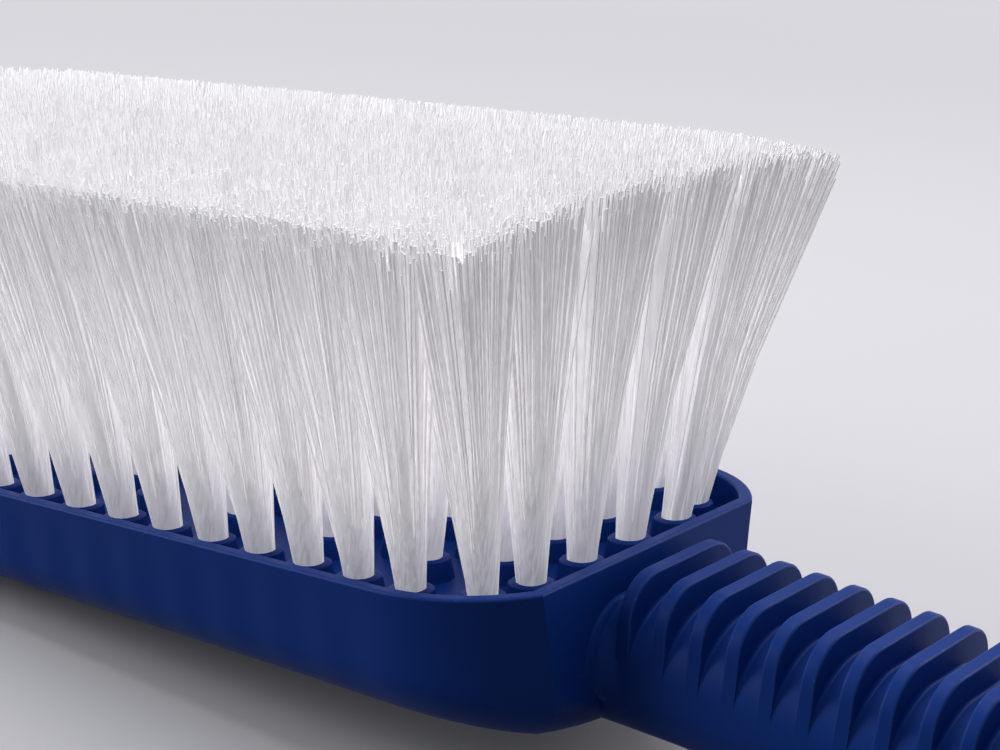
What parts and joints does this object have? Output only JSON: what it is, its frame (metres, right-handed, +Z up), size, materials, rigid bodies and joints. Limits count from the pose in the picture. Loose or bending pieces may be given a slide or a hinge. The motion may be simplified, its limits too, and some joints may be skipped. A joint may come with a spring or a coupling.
{
  "type": "water flow brush",
  "caption": "Hand-held flow-through wash brush: white bristle tufts in a blue trough-shaped head, ribbed hollow handle, quarter-turn tap and swivel hose coupling.",
  "frame": {"origin": "middle of the underside of the box of the brush, lying on its back on a table, bristles up", "axes": "+X from the head along the handle to the hose coupling, +Z up, away from the table"},
  "size_m": [0.3986, 0.1026, 0.092],
  "materials": {
    "blue_plastic": "moulded, satin gloss",
    "bristle": "white filaments with split ends",
    "rubber": "matt black",
    "grey_plastic": "moulded, satin",
    "steel": "plain"
  },
  "bodies": {
    "brush": {"body": "blue_plastic", "tuft_plate": "blue_plastic", "plate_gasket": "rubber", "bristle_bank_1": "bristle", "bristle_bank_2": "bristle", "bristle_bank_3": "bristle", "bristle_bank_4": "bristle", "tap_seat_front": "grey_plastic", "tap_seat_rear": "grey_plastic", "tail_piece": "grey_plastic", "tail_o_ring": "rubber", "nut_slip_ring": "grey_plastic", "filter_screen": "steel", "hose_washer": "rubber"},
    "tap": {"tap_plug": "grey_plastic", "tap_upper_o_ring": "rubber", "tap_lower_o_ring": "rubber", "tap_clip": "steel", "tap_thrust_washer": "grey_plastic", "tap_lever": "blue_plastic", "lever_screw": "steel"},
    "nut": {"coupling_nut": "blue_plastic"}
  },
  "joints": [
    {"name": "tap_turn", "type": "hinge", "parent": "brush", "child": "tap", "pos_m": [0.1382, 0, 0.01804], "axis": [0.0338, 0, 0.9994], "range_deg": [0, 90]},
    {"name": "nut_swivel", "type": "hinge", "parent": "brush", "child": "nut", "pos_m": [0.17318, 0, 0.01686], "axis": [0.9994, 0, -0.0338], "continuous": true}
  ]
}
